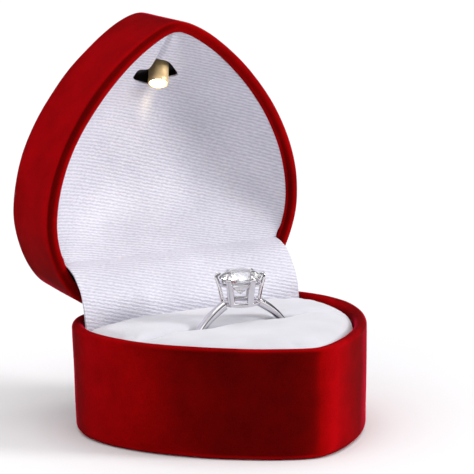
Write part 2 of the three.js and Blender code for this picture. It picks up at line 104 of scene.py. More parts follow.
GIRDLE_Z = HEAD_Z + 5.6
PILE_RISE = 0.4  # how far the base's pile stands above the moulding's rim
LID_PILE_LIFT = 0.25  # how much higher the lid's pile starts, to leave it room
COIL_RADIUS = 1.15  # both springs
SWITCH_X, SWITCH_Y = -17, 19
AROUND = 360  # points round the heart


# ---- Outlines ----
def bezier(a, b, c, d, count=200):
    """Points along a cubic curve, without its last one."""
    t = np.linspace(0, 1, count, endpoint=False)[:, None]
    a, b, c, d = (np.array(p, float) for p in (a, b, c, d))
    return (1 - t) ** 3 * a + 3 * (1 - t) ** 2 * t * b + 3 * (1 - t) * t**2 * c + t**3 * d


def resample(points, count):
    """A closed line again, with its points evenly spaced and its first point kept."""
    closed = np.vstack([points, points[:1]])
    along = np.concatenate([[0], np.cumsum(np.linalg.norm(np.diff(closed, axis=0), axis=1))])
    at = np.linspace(0, along[-1], count, endpoint=False)
    return np.stack([np.interp(at, along, closed[:, k]) for k in range(2)], axis=1)


def soften(points, reach):
    """A closed line with its corners rounded over about that many millimetres."""
    step = np.linalg.norm(points[1] - points[0])
    spread = max(1, round(3 * reach / step))
    offsets = np.arange(-spread, spread + 1)
    weights = np.exp(-0.5 * (offsets * step / reach) ** 2)
    weights /= weights.sum()
    return sum(w * np.roll(points, -o, axis=0) for w, o in zip(weights, offsets))


def heart():
    """The rim's outline, counter-clockwise from the tip."""
    right = [
        bezier((0, TIP_Y), (TIP_REACH, TIP_Y), (HALF, WIDEST_Y - SIDE_REACH), (HALF, WIDEST_Y)),
        bezier(
            (HALF, WIDEST_Y), (HALF, WIDEST_Y + LOBE_RISE), (LOBE_X + LOBE_REACH, REAR_Y), (LOBE_X, REAR_Y)
        ),
        bezier(
            (LOBE_X, REAR_Y),
            (LOBE_X - NOTCH_REACH, REAR_Y),
            (NOTCH_SPREAD, NOTCH_Y + NOTCH_LIFT),
            (0, NOTCH_Y),
        ),
    ]
    right = np.vstack([*right, [[0, NOTCH_Y]]])
    left = right[1:-1][::-1] * [-1, 1]
    return soften(resample(np.vstack([right, left]), AROUND), 0.7)


def inset(points, distance):
    """A counter-clockwise outline moved inwards."""
    along = np.roll(points, -1, axis=0) - np.roll(points, 1, axis=0)
    along /= np.linalg.norm(along, axis=1)[:, None]
    return points + distance * np.stack([-along[:, 1], along[:, 0]], axis=1)


def shrink(points, share):
    """An outline scaled towards the box's middle."""
    return CENTRE + (points - CENTRE) * share


def half_width(points, y):
    """Half the width of an outline where a line crosses it at y, in front of its widest place or behind."""
    right = points[: len(points) // 2 + 1]
    rear = int(right[:, 1].argmax())
    return float(np.interp(y, right[: rear + 1, 1], right[: rear + 1, 0]))


RIM = heart()


# ---- Meshes ----
def smoothstep(x):
    x = np.clip(x, 0, 1)
    return x * x * (3 - 2 * x)


def smooth_shade(mesh, sharp):
    """Smooth shading, with a sharp edge wherever the surface turns by more than that many degrees."""
    mesh.polygons.foreach_set("use_smooth", [True] * len(mesh.polygons))
    mesh.set_sharp_from_angle(angle=math.radians(sharp))


def make(name, points, faces, sharp=40.0):
    """A smooth-shaded object from points in millimetres."""
    mesh = bpy.data.meshes.new(name)
    mesh.from_pydata((np.asarray(points, float) * MM).tolist(), [], [list(map(int, f)) for f in faces])
    mesh.validate()
    smooth_shade(mesh, sharp)
    piece = bpy.data.objects.new(name, mesh)
    bpy.context.scene.collection.objects.link(piece)
    return piece


def loft(name, rings, sharp=40.0):
    """A body through rings of points, with flat ends."""
    n = len(rings[0])
    faces = [
        (k * n + i, k * n + (i + 1) % n, (k + 1) * n + (i + 1) % n, (k + 1) * n + i)
        for k in range(len(rings) - 1)
        for i in range(n)
    ]
    faces.append(list(range(n))[::-1])
    faces.append(list(range((len(rings) - 1) * n, len(rings) * n)))
    return make(name, np.vstack(rings), faces, sharp)


def level(points, z):
    """An outline at one height."""
    return np.column_stack([points, np.full(len(points), z)])


def settle(piece):
    """Applies a piece's modifiers."""
    bpy.context.view_layer.update()
    graph = bpy.context.evaluated_depsgraph_get()
    mesh = bpy.data.meshes.new_from_object(piece.evaluated_get(graph), depsgraph=graph)
    piece.modifiers.clear()
    old, piece.data = piece.data, mesh
    mesh.name = piece.name
    bpy.data.meshes.remove(old)
    return piece


def carve(piece, tool):
    """Cuts the tool's shape out of a piece, and removes the tool."""
    cutter = piece.modifiers.new("carve", "BOOLEAN")
    cutter.operation = "DIFFERENCE"
    cutter.solver = "EXACT"
    cutter.object = tool
    settle(piece)
    bpy.data.objects.remove(tool)


def block(x, y, z):
    """A box between two values on each axis."""
    corners = [(i, j, k) for i in x for j in y for k in z]
    faces = [(0, 1, 3, 2), (4, 6, 7, 5), (0, 4, 5, 1), (2, 3, 7, 6), (0, 2, 6, 4), (1, 5, 7, 3)]
    return make("block", corners, faces)


def opened():
    """The turn from the shut lid's place to the open one's."""
    hinge = Matrix.Translation(Vector(HINGE * MM))
    return hinge @ Matrix.Rotation(-OPEN_ANGLE, 4, "X") @ hinge.inverted()


OPENED = opened()


def swing(points):
    """Shut-lid points in millimetres, with the lid open."""
    c, s = math.cos(OPEN_ANGLE), math.sin(OPEN_ANGLE)
    y, z = points[..., 1] - HINGE[1], points[..., 2] - HINGE[2]
    return np.stack([points[..., 0], HINGE[1] + y * c + z * s, HINGE[2] - y * s + z * c], axis=-1)


def wire(name, path, radius, sides=8):
    """A round bar along a path, with flat ends."""
    path = np.asarray(path, float)
    along = np.gradient(path, axis=0)
    along /= np.linalg.norm(along, axis=1)[:, None]
    side = np.cross(along[0], [0.31, 0.11, 0.94])
    rings = []
    angles = np.linspace(0, 2 * math.pi, sides, endpoint=False)
    for point, ahead in zip(path, along):
        side = side - ahead * side.dot(ahead)
        side /= np.linalg.norm(side)
        up = np.cross(ahead, side)
        rings.append(point + radius * (np.cos(angles)[:, None] * side + np.sin(angles)[:, None] * up))
    return loft(name, rings, 60)


def join(name, pieces):
    """Pieces put together in one object."""
    points, faces, base = [], [], 0
    for piece in pieces:
        mesh = piece.data
        points += [tuple(piece.matrix_world @ v.co / MM) for v in mesh.vertices]
        faces += [[base + v for v in p.vertices] for p in mesh.polygons]
        base += len(mesh.vertices)
    for piece in pieces:
        bpy.data.objects.remove(piece)
    return make(name, points, faces, 45)


def rounded(centre_inset, centre_z, radius, start, end, count=9, height=None):
    """(inset, z) pairs along an arc, or part of an ellipse, for the edge of a shell."""
    height = height or radius
    angles = np.radians(np.linspace(start, end, count))
    return [(centre_inset + radius * math.cos(a), centre_z + height * math.sin(a)) for a in angles]


# ---- Materials ----
def material(name, **values):
    """A material with its shader's sockets set, its node tree and its shader."""
    made = bpy.data.materials.new(name)
    made.use_nodes = True
    shader = made.node_tree.nodes["Principled BSDF"]
    for socket, value in values.items():
        shader.inputs[socket.replace("_", " ")].default_value = value
    return made, made.node_tree, shader


def texture(tree, kind, scale, stretch=(1, 1, 1), uv=False, turn=0.0, **values):
    """A texture node in metres of the piece, or of its UV map."""
    place = tree.nodes.new("ShaderNodeTexCoord")
    mapping = tree.nodes.new("ShaderNodeMapping")
    mapping.inputs["Scale"].default_value = stretch
    mapping.inputs["Rotation"].default_value = (0, 0, turn)
    node = tree.nodes.new(kind)
    node.inputs["Scale"].default_value = scale
    for socket, value in values.items():
        node.inputs[socket.replace("_", " ")].default_value = value
    tree.links.new(place.outputs["UV" if uv else "Object"], mapping.inputs["Vector"])
    tree.links.new(mapping.outputs["Vector"], node.inputs["Vector"])
    return node


def blend_colours(tree, factor, low, high, start=0.3, end=0.7):
    """The low colour up to start, the high one from end on, and a blend between."""
    ramp = tree.nodes.new("ShaderNodeValToRGB")
    ramp.color_ramp.elements[0].position = start
    ramp.color_ramp.elements[0].color = (*low, 1)
    ramp.color_ramp.elements[1].position = end
    ramp.color_ramp.elements[1].color = (*high, 1)
    tree.links.new(factor, ramp.inputs["Fac"])
    return ramp.outputs["Color"]


def multiply(tree, first, second):
    """Two colours multiplied."""
    node = tree.nodes.new("ShaderNodeMix")
    node.data_type = "RGBA"
    node.blend_type = "MULTIPLY"
    node.inputs["Factor"].default_value = 1.0
    tree.links.new(first, node.inputs["A"])
    tree.links.new(second, node.inputs["B"])
    return node.outputs["Result"]


def weighted_sum(tree, value, weight, other):
    """One value times its weight, plus the other."""
    node = tree.nodes.new("ShaderNodeMath")
    node.operation = "MULTIPLY_ADD"
    node.inputs[1].default_value = weight
    tree.links.new(value, node.inputs[0])
    tree.links.new(other, node.inputs[2])
    return node.outputs["Value"]


def bump(tree, shader, height, strength, distance):
    node = tree.nodes.new("ShaderNodeBump")
    node.inputs["Strength"].default_value = strength
    node.inputs["Distance"].default_value = distance
    tree.links.new(height, node.inputs["Height"])
    tree.links.new(node.outputs["Normal"], shader.inputs["Normal"])


def velvet_material():
    """Cut pile with painted sheen: its colour is painted dark where it is looked into and brighter where it
    is seen from the side, with a pink painted highlight at grazing angles.
    """
    made, tree, shader = material(
        "velvet",
        Roughness=0.9,
        Specular_IOR_Level=0.02,
        Sheen_Weight=0.12,
        Sheen_Roughness=0.3,
        Sheen_Tint=(1.0, 0.0, 0.03, 1),
    )
    patches = texture(tree, "ShaderNodeTexNoise", 110, Detail=5, Roughness=0.6)
    pile = texture(tree, "ShaderNodeTexNoise", 3200, Detail=3, Roughness=0.7)
    mixed = weighted_sum(tree, pile.outputs["Fac"], 0.6, patches.outputs["Fac"])
    speckle = blend_colours(tree, mixed, (0.66, 0.66, 0.66), (1.14, 1.14, 1.14), 0.55, 1.0)
    # painted sheen and shade: this ramp sets the base colour by viewing angle, standing in for how light
    # falls on the pile, with a pink painted highlight at the very edge
    facing = tree.nodes.new("ShaderNodeLayerWeight")
    facing.inputs["Blend"].default_value = 0.5
    nap = tree.nodes.new("ShaderNodeValToRGB")
    stops = nap.color_ramp.elements
    stops[0].position, stops[0].color = 0.0, (0.09, 0.0002, 0.0003, 1)
    stops[1].position, stops[1].color = 1.0, (0.55, 0.003, 0.03, 1)
    for position, colour in (
        (0.08, (0.118, 0.0003, 0.0003, 1)),
        (0.18, (0.24, 0.0003, 0.0006, 1)),
        (0.5, (0.34, 0.0003, 0.002, 1)),
        (0.8, (0.15, 0.0003, 0.001, 1)),
    ):
        stops.new(position).color = colour
    tree.links.new(facing.outputs["Facing"], nap.inputs["Fac"])
    tree.links.new(multiply(tree, nap.outputs["Color"], speckle), shader.inputs["Base Color"])
    bump(tree, shader, pile.outputs["Fac"], 0.45, 0.00012)
    return made


PAINTED_GLOW_PLACE = (-0.0008, 0.0595)  # the middle of the painted pool of the lamp's warm light on the satin's UV map, in metres
PAINTED_GLOW_REACH = (0.0032, 0.0075)


def painted_lamp_light(tree, shader):
    """A painted pool of the lamp's warm light: emission on the cloth just below the lamp."""
    place = tree.nodes.new("ShaderNodeTexCoord")
    spot = tree.nodes.new("ShaderNodeMapping")
    spot.inputs["Scale"].default_value = (*(1 / reach for reach in PAINTED_GLOW_REACH), 0)
    spot.inputs["Location"].default_value = (*(-p / r for p, r in zip(PAINTED_GLOW_PLACE, PAINTED_GLOW_REACH)), 0)
    glow = tree.nodes.new("ShaderNodeTexGradient")
    glow.gradient_type = "QUADRATIC_SPHERE"
    strength = tree.nodes.new("ShaderNodeMath")
    strength.operation = "MULTIPLY"
    strength.inputs[1].default_value = 0.32
    tree.links.new(place.outputs["UV"], spot.inputs["Vector"])
    tree.links.new(spot.outputs["Vector"], glow.inputs["Vector"])
    tree.links.new(glow.outputs["Fac"], strength.inputs[0])
    tree.links.new(strength.outputs["Value"], shader.inputs["Emission Strength"])
    shader.inputs["Emission Color"].default_value = (1.0, 0.84, 0.50, 1)


def satin_material():
    """Ribbed satin: slanting ribs crossed by fine threads, with slow changes of tone and a painted pool of
    the lamp's light.
    """
    made, tree, shader = material(
        "satin",
        Roughness=0.42,
        Specular_IOR_Level=0.45,
        Sheen_Weight=0.25,
        Sheen_Roughness=0.3,
        Sheen_Tint=(0.96, 0.95, 1.0, 1),
    )
    ribs = texture(
        tree, "ShaderNodeTexWave", 440, uv=True, turn=math.radians(106), Distortion=2.2, Detail=2,
        Detail_Scale=2.5, Detail_Roughness=0.6,
    )
    threads = texture(
        tree, "ShaderNodeTexNoise", 1500, stretch=(0.9, 2.1, 1), uv=True, turn=math.radians(18), Detail=3
    )
    weave = weighted_sum(tree, ribs.outputs["Fac"], 0.42, threads.outputs["Fac"])
    tones = texture(tree, "ShaderNodeTexNoise", 70, uv=True, Detail=3)
    colour = blend_colours(tree, tones.outputs["Fac"], (0.605, 0.592, 0.665), (0.715, 0.70, 0.77))
    woven = blend_colours(tree, weave, (0.73, 0.73, 0.77), (1.08, 1.08, 1.08), 0.42, 0.98)
    tree.links.new(multiply(tree, colour, woven), shader.inputs["Base Color"])
    # painted light: a warm emissive patch stands in for the lamp's light falling on the satin
    painted_lamp_light(tree, shader)
    bump(tree, shader, weave, 0.6, 0.00013)
    return made


def plush_material():
    """Soft white plush with a short nap and faint clouds of tone."""
    made, tree, shader = material(
        "plush",
        Roughness=0.9,
        Specular_IOR_Level=0.2,
        Sheen_Weight=0.4,
        Sheen_Roughness=0.5,
        Sheen_Tint=(1, 1, 1, 1),
    )
    nap = texture(tree, "ShaderNodeTexNoise", 2200, Detail=4, Roughness=0.65)
    clouds = texture(tree, "ShaderNodeTexNoise", 90, Detail=4)
    colour = blend_colours(tree, clouds.outputs["Fac"], (0.56, 0.555, 0.60), (0.635, 0.63, 0.68))
    tree.links.new(colour, shader.inputs["Base Color"])
    bump(tree, shader, nap.outputs["Fac"], 0.4, 0.00012)
    return made


def plain_material(name, colour, roughness, metallic=0.0, grain=1500, depth=0.00002, spread=0.12, **values):
    """A finish with a fine grain: its roughness and its surface vary a little."""
    made, tree, shader = material(name, Metallic=metallic, **values)
    grains = texture(tree, "ShaderNodeTexNoise", grain, Detail=3)
    low = tuple(c * (1 - spread) for c in colour)
    high = tuple(min(1.0, c * (1 + spread)) for c in colour)
    tree.links.new(blend_colours(tree, grains.outputs["Fac"], low, high), shader.inputs["Base Color"])
    rough = tree.nodes.new("ShaderNodeMapRange")
    rough.inputs["To Min"].default_value = roughness * 0.8
    rough.inputs["To Max"].default_value = roughness * 1.2
    tree.links.new(grains.outputs["Fac"], rough.inputs["Value"])
    tree.links.new(rough.outputs["Result"], shader.inputs["Roughness"])
    bump(tree, shader, grains.outputs["Fac"], 0.3, depth)
    return made


MATERIALS = {
    "velvet": velvet_material(),
    "satin": satin_material(),
    "plush": plush_material(),
    "board": plain_material("board", (0.45, 0.37, 0.26), 0.85),
    "felt": plain_material("felt", (0.07, 0.002, 0.004), 0.95, grain=2500, depth=0.0001),
    "steel": plain_material("steel", (0.62, 0.63, 0.64), 0.28, 1.0, grain=900),
    "brass": plain_material("brass", (0.92, 0.66, 0.33), 0.45, 0.6, grain=900),
    "black_plastic": plain_material("black_plastic", (0.045, 0.04, 0.045), 0.5),
    "silver": plain_material(
        "silver", (0.70, 0.68, 0.71), 0.09, 1.0, grain=1200, depth=0.000004, spread=0.03
    ),
    "red_lead": plain_material("red_lead", (0.4, 0.01, 0.01), 0.5),
    "black_lead": plain_material("black_lead", (0.01, 0.01, 0.01), 0.5),
}
MATERIALS["stone"] = material(
    "stone",
    Base_Color=(1, 1, 1, 1),
    Roughness=0.0,
    IOR=1.9,
    Transmission_Weight=0.92,
)[0]
MATERIALS["lens"] = material(
    "lens",
    Base_Color=(1.0, 0.93, 0.78, 1),
    Roughness=0.2,
    Emission_Color=(1.0, 0.83, 0.55, 1),
    Emission_Strength=30.0,
)[0]

slot_of = {part["node"]: part["material_slot"] for part in frame["record"]["subparts"]}
for name, node in nodes.items():
    node.data.materials.clear()
    node.data.materials.append(MATERIALS[slot_of[name]])


def finish_piece(piece, body, slot, *replaced, extra=()):
    """Gives a piece its material and says what it replaces, and what it rides on if that is one body."""
    piece.data.materials.append(MATERIALS[slot])
    for other in extra:
        piece.data.materials.append(MATERIALS[other])
    if replaced:
        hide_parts(*replaced)
    if body:
        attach(piece, body)
    return piece


# ---- Velvet shells ----
def wobble(piece, amount, size):
    """Small slow waves, as cloth glued on a moulding has."""
    normals = np.zeros(len(piece.data.vertices) * 3)
    piece.data.vertices.foreach_get("normal", normals)
    for vertex, normal in zip(piece.data.vertices, normals.reshape(-1, 3)):
        push = noise.noise(vertex.co / (size * MM)) * amount * MM
        vertex.co = vertex.co + Vector(normal) * push


def steps(start, end, count):
    """Pairs of numbers, evenly spaced from one pair to another."""
    return list(zip(np.linspace(start[0], end[0], count), np.linspace(start[1], end[1], count)))


def base_velvet():
    """The base's covered wall: under the foot, up the outside, over the rim and down the inside."""
    foot = BASE_HEIGHT * BASE_DRAFT
    hem = 0.88  # where the velvet turned under the base ends, as a share of the outline
    side = rounded(foot + RIM_ROUND, RIM_ROUND, RIM_ROUND, -90, -180)
    edge_z = BASE_HEIGHT + PILE_RISE - RIM_ROUND
    side += steps((foot, RIM_ROUND), (0, edge_z), 12)[1:-1]
    side += rounded(RIM_ROUND, edge_z, RIM_ROUND, 180, 0, 17)
    side += steps((WALL, edge_z), (WALL, 1.5), 5)[1:]
    rings = [level(shrink(RIM, hem), 0.8), level(shrink(RIM, hem), 0.05), level(shrink(RIM, hem + 0.01), 0)]
    rings += [level(inset(RIM, d), z) for d, z in side]
    piece = loft("base_velvet", rings)
    finish_piece(piece, None, "velvet", "base_shell", extra=["black_plastic"])
    for face in piece.data.polygons:
        if 1.4 * MM < face.center.z < 8 * MM and faces_inwards(face):
            face.material_index = 1
    wobble(piece, 0.12, 9)
    for vertex in piece.data.vertices:
        vertex.co.z = max(vertex.co.z, 0.0)
    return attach(piece, "base")


def faces_inwards(face):
    """Whether a face is on a shell's inner side, or flat."""
    middle = Vector((0, CENTRE[1] * MM, 0))
    return (face.center - middle).xy.dot(face.normal.xy) < 0 or abs(face.normal.z) > 0.7


def lid_velvet():
    """The lid's covered shell, drawn shut from its inner ceiling round the rim to the crown."""
    top = LID_TOP_Z
    ceiling = top - 1.5
    side_z = top - CROWN_ROUND
    edge_z = LID_RIM_Z + LID_PILE_LIFT + LID_RIM_ROUND
    side = [(WALL + 0.45, ceiling)]
    side += steps((WALL + 0.3, ceiling - 0.6), (WALL, edge_z), 7)
    side += rounded(RIM_ROUND, edge_z, RIM_ROUND, 0, -180, 17, LID_RIM_ROUND)[1:]
    draft = (side_z - edge_z) * LID_DRAFT
    side += steps((0, edge_z), (draft, side_z), 9)[1:]
    rings = [level(inset(RIM, d), z) for d, z in side]
    crown = inset(RIM, draft)
    rise = CROWN_ROUND - 0.2
    for angle in np.radians(np.arange(8, 91, 7.5)):
        rings.append(level(shrink(crown, 1 - 0.06 * (1 - math.cos(angle))), side_z + rise * math.sin(angle)))
    last = rings[-1][0, 2]
    for share in (0.88, 0.78, 0.64, 0.48, 0.30, 0.12):
        rings.append(level(shrink(crown, share), last + (top - last) * (1 - (share / 0.94) ** 2)))
    piece = loft("lid_velvet", rings)
    finish_piece(piece, None, "velvet", "lid_shell", extra=["black_plastic"])
    carve(piece, block((-8.6, 8.6), (14, HINGE[1]), (LID_RIM_Z - 1, HINGE[2] + 1.8)))
    for face in piece.data.polygons:
        z = face.center.z / MM
        if LID_RIM_Z + 2.6 < z < ceiling + 0.1 and faces_inwards(face) and face.normal.z < 0.7:
            face.material_index = 1
    wobble(piece, 0.12, 9)
    piece.data.transform(OPENED)
    smooth_shade(piece.data, 40)
    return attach(piece, "lid")


base_velvet()
lid_velvet()

# ---- Satin: one sheet from behind the cushion, over the hinge and into the lid's bowl ----
# (y, z) down the middle of the strip over the hinge, with the lid open.
STRIP = [(14.85, 12.0), (14.85, 17.0), (15.0, 20.4), (15.6, 24.5), (16.9, 27.6), (19.4, 30.8), (21.8, 32.2)]
# (y, z) down the middle of the bowl, with the lid shut.
BOWL = [
    (16.0, 23.7),
    (14.7, 25.6),
    (12.7, 28.4),
    (9.9, 31.2),
    (6.2, 33.4),
    (1.5, 34.8),
    (-4.0, 35.2),
    (-10.0, 34.5),
    (-15.5, 32.5),
    (-20.5, 29.4),
    (-25.0, 26.3),
    (-28.2, 24.1),
    (-29.7, 23.4),
]
EDGE_Z = 23.5  # the height of the satin's edge, with the lid shut
STRIP_HALF = 25.4
LAMP_FOOT = np.array([1.2, -22.84, 32.13])
LAMP_MOUTH = np.array([-0.78, -18.26, 28.8])
# The torn edge of the lamp's opening, in a tilted plane near the tip: across, and towards the hinge.
SLIT_CENTRE = (-20.5, 29.3)
SLIT_TILT = math.radians(34)
SLIT = [
    (-6.5, 0.4), (-5.8, -1.4), (-3.3, -1.2), (-2.1, -3.1), (-0.8, -3.5), (1.3, -2.5), (3.0, -0.8),
    (4.6, 1.3), (2.7, 1.9), (1.6, 3.0), (0.0, 3.5), (-1.7, 3.3), (-3.3, 2.7), (-5.5, 1.6),
]


def curve_through(points, count):
    """Points evenly along a smooth curve through the given ones."""
    points = np.array(points, float)
    ends = np.vstack([2 * points[0] - points[1], points, 2 * points[-1] - points[-2]])
    out = []
    for i in range(len(points) - 1):
        p0, p1, p2, p3 = ends[i : i + 4]
        for t in np.linspace(0, 1, 24, endpoint=False):
            out.append(
                0.5
                * (
                    2 * p1
                    + (p2 - p0) * t
                    + (2 * p0 - 5 * p1 + 4 * p2 - p3) * t * t
                    + (3 * p1 - p0 - 3 * p2 + p3) * t**3
                )
            )
    out = np.vstack([out, points[-1:]])
    along = np.concatenate([[0], np.cumsum(np.linalg.norm(np.diff(out, axis=0), axis=1))])
    at = np.linspace(0, along[-1], count)
    return np.stack([np.interp(at, along, out[:, k]) for k in range(out.shape[1])], axis=1)


def satin_sheet():
    """The sheet's middle surface as rows of points, from the tucked-in end of the strip to the tip."""
    liner = inset(RIM, WALL + 0.12)
    strip = curve_through(STRIP, 34)
    bowl = curve_through(BOWL, 110)
    across = np.sin(np.linspace(-1, 1, 97) * math.pi / 2)
    rows = []
    for y, z in strip:
        x = STRIP_HALF * across
        fullness = 1 - np.abs(across) ** 2.5
        rows.append(np.stack([x, y - 0.35 * fullness, z + 0 * x], axis=1))
    for y, z in bowl:
        half = half_width(liner, max(y, TIP_Y + WALL + 0.6))
        entry = smoothstep((16.2 - y) / 3.0)
        half = STRIP_HALF * (1 - entry) + half * entry if y > 13 else half
        x = half * across
        deep = (1 - np.abs(across) ** 3.0) ** 0.9
        heights = EDGE_Z + (z - EDGE_Z) * deep
        rows.append(swing(np.stack([x, np.full_like(x, y), heights], axis=1)))
    return np.array(rows)


def satin_piece():
    grid = satin_sheet()
    count, width = grid.shape[:2]
    ahead = np.gradient(grid, axis=0)
    aside = np.gradient(grid, axis=1)
    normal = np.cross(aside, ahead)
    normal /= np.maximum(np.linalg.norm(normal, axis=2), 1e-9)[..., None]
    # soft folds: slow waves over the whole sheet, and a pinch from the lamp up to the tip
    for i in range(count):
        for j in range(width):
            p = Vector(grid[i, j])
            fold = 0.22 * noise.noise(Vector((p.x * 0.09, p.z * 0.05, 3.1)))
            fold += 0.10 * noise.noise(Vector((p.x * 0.25 + p.z * 0.18, p.z * 0.22 - p.x * 0.1, 7.7)))
            pinch = math.exp(-(((p.x + 2.1 - 0.09 * (p.z - 69)) / 0.5) ** 2)) * smoothstep((p.z - 69) / 3)
            edge = smoothstep(min(j, width - 1 - j) / 5)
            grid[i, j] += normal[i, j] * (fold - 0.6 * float(pinch)) * float(edge)
    # UV in metres of cloth
    down = np.concatenate([[0], np.cumsum(np.linalg.norm(np.diff(grid[:, width // 2], axis=0), axis=1))])
    faces = [
        (i * width + j, i * width + j + 1, (i + 1) * width + j + 1, (i + 1) * width + j)
        for i in range(count - 1)
        for j in range(width - 1)
    ]
    piece = make("lid_satin", grid.reshape(-1, 3), faces, 70)
    layer = piece.data.uv_layers.new(name="cloth")
    for loop in piece.data.loops:
        i, j = divmod(loop.vertex_index, width)
        layer.data[loop.index].uv = (grid[i, j, 0] * MM, down[i] * MM)
    thick = piece.modifiers.new("thick", "SOLIDIFY")
    thick.thickness = 0.35 * MM
    thick.offset = -1
    settle(piece)
    slit = lamp_slit()
    slit.data.transform(OPENED)
    carve(piece, slit)
    smooth_shade(piece.data, 60)
    return piece


def lamp_slit():
    """The opening in the satin for the lamp, as a prism."""
    edge = curve_through([*SLIT, SLIT[0]], 61)[:-1]
    rings = []
    for height in (-4, 4):
        y = SLIT_CENTRE[0] + edge[:, 1] * math.cos(SLIT_TILT) - height * math.sin(SLIT_TILT)
        z = SLIT_CENTRE[1] + edge[:, 1] * math.sin(SLIT_TILT) + height * math.cos(SLIT_TILT)
        rings.append(np.stack([edge[:, 0], y, z], axis=1))
    return loft("slit", rings)


satin = finish_piece(satin_piece(), None, "satin", "lid_lining", "hinge_flap")
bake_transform(satin)


# ---- Cushions ----
def clip(points, low, high):
    """The part of a closed line between two lines across it."""
    for sign, limit in ((1, high), (-1, -low)):
        kept = []
        for p, q in zip(points, np.roll(points, -1, axis=0)):
            inside = sign * p[1] <= limit
            if inside:
                kept.append(p)
            if inside != (sign * q[1] <= limit):
                kept.append(p + (q - p) * (sign * limit - p[1]) / (q[1] - p[1]))
        points = np.array(kept)
    return points


def cushion(name, low, high, slot_side):
    """One padded half. slot_side is 1 where the slot is at its high y, and -1 at its low y."""
    outline = soften(resample(clip(inset(RIM, WALL + 0.15), low, high), 300), 0.8)
    beside = np.abs(outline[:, 1] - SLOT_Y) < 1.2
    out = np.abs(outline[:, 0])

    def lips(room):
        line = outline.copy()
        line[beside, 1] = SLOT_Y - slot_side * room[beside]
        return soften(line, 0.5)

    # The lips close over the buried part of the ring and stand apart at its two feet.
    under = lips(0.15 + 1.15 * smoothstep((13.6 - out) / 1.5))
    over = lips(0.15 + 1.05 * smoothstep((2.4 - np.abs(out - 9.7)) / 0.9))
    middle = outline.mean(axis=0)
    edge = np.where(beside, 0.75, 1.15)

    def crown(points):
        return CUSHION_TOP - 0.25 - 1.25 * smoothstep((share_of(points) - 0.55) / 0.45) ** 1.3

    rings = [level(under, z) for z in (3.2, 8, 13, 16.5, 18.2)]
    reach = np.linalg.norm(over - middle, axis=1)
    for drop in np.linspace(0, 1, 7):
        angle = drop * math.pi / 2
        distance = edge * (1 - math.cos(angle))
        points = over + (middle - over) * (distance / reach)[:, None]
        rings.append(np.column_stack([points, crown(points) - edge * (1 - math.sin(angle))]))
    for share in (0.9, 0.8, 0.68, 0.54, 0.4, 0.26, 0.13):
        points = middle + (over - middle) * share
        rings.append(np.column_stack([points, crown(points)]))
    piece = loft(name, rings, 80)
    puff(piece)
    return piece


def share_of(points):
    """How far out each point is, from 0 in the box's middle to 1 at its rim."""
    from_centre = points - CENTRE
    angles = np.arctan2(from_centre[:, 1], from_centre[:, 0])
    rim = RIM - CENTRE
    rim_angles = np.arctan2(rim[:, 1], rim[:, 0])
    order = np.argsort(rim_angles)
    rim_reach = np.linalg.norm(rim, axis=1)[order]
    return np.linalg.norm(from_centre, axis=1) / np.interp(
        angles, rim_angles[order], rim_reach, period=2 * math.pi
    )


def puff(piece):
    """Swells the upper part of a cushion with the cloth solver, at ten times its size."""
    scale = 10.0
    scene = bpy.context.scene
    piece.data.transform(Matrix.Scale(scale, 4))
    remesh = piece.modifiers.new("remesh", "REMESH")
    remesh.mode = "VOXEL"
    remesh.voxel_size = 0.006
    settle(piece)
    rest = np.array([v.co for v in piece.data.vertices], float)
    held = piece.vertex_groups.new(name="held")
    for i, point in enumerate(rest):
        held.add([i], float(1 - smoothstep((point[2] / scale / MM - 17.0) / 2.5)), "REPLACE")
    cloth = piece.modifiers.new("cloth", "CLOTH")
    cloth.settings.vertex_group_mass = "held"
    cloth.settings.use_pressure = True
    cloth.settings.uniform_pressure_force = 4
    cloth.settings.quality = 5
    cloth.settings.effector_weights.gravity = 0
    cloth.point_cache.frame_start = 1
    cloth.point_cache.frame_end = 20
    for step in range(1, 21):
        scene.frame_set(step)
    settle(piece)
    scene.frame_set(1)
    moved = np.array([v.co for v in piece.data.vertices], float) - rest
    length = np.linalg.norm(moved, axis=1)
    most = 0.35 * MM * scale
    keep = np.minimum(1, most / np.maximum(length, 1e-9))
    for vertex, start, shift, share in zip(piece.data.vertices, rest, moved, keep):
        vertex.co = start + shift * share
    piece.data.transform(Matrix.Scale(1 / scale, 4))
    even = piece.modifiers.new("even", "SMOOTH")
    even.factor = 0.5
    even.iterations = 6
    smooth = piece.modifiers.new("smooth", "SUBSURF")
    smooth.levels = smooth.render_levels = 1
    settle(piece)
    piece.data.polygons.foreach_set("use_smooth", [True] * len(piece.data.polygons))


for name, low, high, slot_side, node in (
    ("plush_front", TIP_Y, SLOT_Y - 0.4, 1, "cushion_front"),
    ("plush_back", SLOT_Y + 0.4, CUSHION_BACK_Y - 0.1, -1, "cushion_back"),
):
    pad = cushion(name, low, high, slot_side)
    finish_piece(pad, "base", "plush", node)


# ---- Lamp ----
def lathe(name, profile, start, axis, sides=64):
    """A body turned about an axis: (radius, distance along) pairs, closed at its ends."""
    axis = axis / np.linalg.norm(axis)
    side = np.cross(axis, [0.2, 0.9, 0.3])
    side /= np.linalg.norm(side)
    up = np.cross(axis, side)
    angles = np.linspace(0, 2 * math.pi, sides, endpoint=False)
    circle = np.cos(angles)[:, None] * side + np.sin(angles)[:, None] * up
    return loft(name, [start + axis * along + circle * radius for radius, along in profile], 35)


